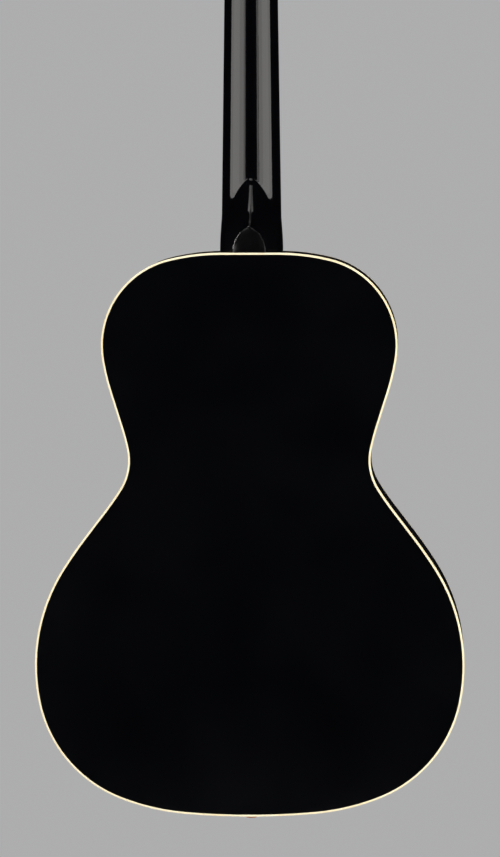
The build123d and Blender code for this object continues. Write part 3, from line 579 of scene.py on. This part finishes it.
def make_heel_cap():
    """The heel's cap with eased edges, from the CAD cap's own shape."""
    mesh = nodes["heel_cap"].data.copy()
    cap = bpy.data.objects.new("heel_cap_eased", mesh)
    bpy.context.scene.collection.objects.link(cap)
    bm = bmesh.new()
    bm.from_mesh(mesh)
    bmesh.ops.remove_doubles(bm, verts=bm.verts, dist=CAP_WELD * MM)
    flat, keen = math.radians(FLAT_ANGLE), math.radians(EDGE_ANGLE)
    bmesh.ops.dissolve_limit(bm, angle_limit=flat, verts=bm.verts, edges=bm.edges)
    sharp = [e for e in bm.edges if e.is_manifold and e.calc_face_angle(0) > keen]
    bmesh.ops.bevel(bm, geom=sharp, offset=CAP_EASE * MM, segments=3, profile=0.5, affect="EDGES")
    bm.to_mesh(mesh)
    bm.free()
    smooth(cap, CAP_SMOOTH)
    dress(cap, "black_plastic")
    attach(cap, "instrument")
    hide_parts("heel_cap")


make_neck()
make_heel_cap()


# --- the studio and the view ---------------------------------------------------------------
def make_floor():
    """A round pale floor well below the hanging guitar."""
    bm = bmesh.new()
    bmesh.ops.create_circle(bm, cap_ends=True, segments=FLOOR_SIDES, radius=FLOOR_R)
    bmesh.ops.translate(bm, vec=(0, 0, FLOOR_Z), verts=bm.verts)
    floor = new_object("floor", bm)
    look = Look("pale floor", (0.62, 0.62, 0.61), 0.7)
    look.color(look.ramp(look.noise(0.6, 3), (0.3, (0.60, 0.60, 0.59)), (0.7, (0.64, 0.64, 0.63))))
    floor.data.materials.append(look.mat)


def bearing(angle, distance, height):
    """A point at a bearing from the +Y axis, in degrees towards +X."""
    turn = math.radians(angle)
    return Vector((math.sin(turn) * distance, math.cos(turn) * distance, height))


def soft_box(name, centre, facing, width, height, radiance):
    """A rectangular lamp whose lit side faces along -facing."""
    lamp = bpy.data.lights.new(name, "AREA")
    lamp.shape, lamp.size, lamp.size_y = "RECTANGLE", width, height
    lamp.energy = radiance * math.pi * width * height
    lamp.color = LAMP_COLOR
    obj = bpy.data.objects.new(name, lamp)
    turn = facing.to_track_quat("Z", "Y").to_matrix().to_4x4()
    obj.matrix_world = Matrix.Translation(centre) @ turn
    bpy.context.scene.collection.objects.link(obj)
    return obj


def make_side_box(name, near, far, radiance, low=SIDE_LOW, high=SIDE_HIGH):
    """An upright soft box between two bearings and two heights."""
    a, b = bearing(near, LIGHT_D, low), bearing(far, LIGHT_D, high)
    centre = (a + b) / 2
    facing = Vector((centre.x, centre.y, 0))
    return soft_box(name, centre, facing, (b - a).xy.length, high - low, radiance)


def flag(lamp, lights):
    """Keep a lamp off the pieces for whose name `lights` is false, as a studio's black flags do."""
    lit = bpy.data.collections.new(lamp.name + " lights")
    for obj in bpy.context.scene.objects:
        if obj.type == "MESH" and lights(obj.name):
            lit.objects.link(obj)
    lamp.light_linking.receiver_collection = lit


def make_front_box(name, angle):
    """A soft box high up at one side of the front; the neck's gloss doesn't mirror it."""
    centre = bearing(angle, FRONT_D, FRONT_Z)
    facing = centre - Vector((0, 0, FRONT_AIM))
    lamp = soft_box(name, centre, facing, FRONT_W, FRONT_H, FRONT_RADIANCE)
    flag(lamp, lambda piece: piece not in ("neck_wood", "heel_cap_eased"))


def make_top_box(name, side, radiance):
    """A long soft box overhead, on one side of the middle, which draws the heel's ridge."""
    centre = Vector((TOP_X + side * TOP_W / 2, TOP_Y, TOP_Z))
    soft_box(name, centre, Vector((0, 0, 1)), TOP_W, TOP_L, radiance)


def make_world():
    """Plain pale light all round, but dark surroundings for gloss to mirror: black stays black."""
    world = bpy.data.worlds.new("studio")
    bpy.context.scene.world = world
    world.use_nodes = True
    tree = world.node_tree
    back = tree.nodes["Background"]
    rays = tree.nodes.new("ShaderNodeLightPath")
    mix = tree.nodes.new("ShaderNodeMix")
    mix.data_type = "RGBA"
    mix.inputs[6].default_value = (*BACKDROP, 1)
    mix.inputs[7].default_value = (*SURROUND, 1)
    tree.links.new(rays.outputs["Is Glossy Ray"], mix.inputs[0])
    tree.links.new(mix.outputs[2], back.inputs["Color"])
    back.inputs["Strength"].default_value = 1.0


def make_camera():
    """The view of the guitar's back from about six metres, cropped through the neck."""
    centre = placed(VIEW_X, VIEW_Y, VIEW_Z)
    rise = math.radians(VIEW_RISE)
    away = bearing(-VIEW_SIDE, math.cos(rise), math.sin(rise))
    data = bpy.data.cameras.new("camera")
    data.sensor_fit = "VERTICAL"
    data.angle = 2 * math.atan(VIEW_H * MM / 2 / VIEW_D)
    data.clip_end = 100
    obj = bpy.data.objects.new("camera", data)
    bpy.context.scene.collection.objects.link(obj)
    turn = away.to_track_quat("Z", "Y").to_matrix().to_4x4()
    roll = Matrix.Rotation(math.radians(VIEW_ROLL), 4, "Z")
    obj.matrix_world = Matrix.Translation(centre + away * VIEW_D) @ turn @ roll
    bpy.context.scene.camera = obj


make_floor()
for name, sign in (("right", -1), ("left", 1)):
    near, far = sign * SIDE_NEAR - SIDE_SKEW, sign * SIDE_FAR + SIDE_SKEW
    make_side_box("soft box " + name, near, far, SIDE_RADIANCE)
    make_side_box("soft box heart " + name, sign * HEART_NEAR, sign * HEART_FAR, HEART_RADIANCE)
    make_side_box("soft box edge " + name, sign * EDGE_NEAR, sign * EDGE_FAR, EDGE_RADIANCE)
    bright = RIM_RADIANCE * (1 + RIM_BIAS * sign)
    rim = make_side_box("rim box " + name, sign * RIM_NEAR, sign * RIM_FAR, bright, RIM_LOW, RIM_HIGH)
    flag(rim, lambda piece: piece == "heel_cap_eased")
    make_front_box("front box " + name, 180 - sign * FRONT_ANGLE)
    make_top_box("top box " + name, sign, TOP_RADIANCE * (1 + TOP_BIAS * sign))
make_world()
make_camera()
bpy.context.scene.view_settings.view_transform = "Standard"
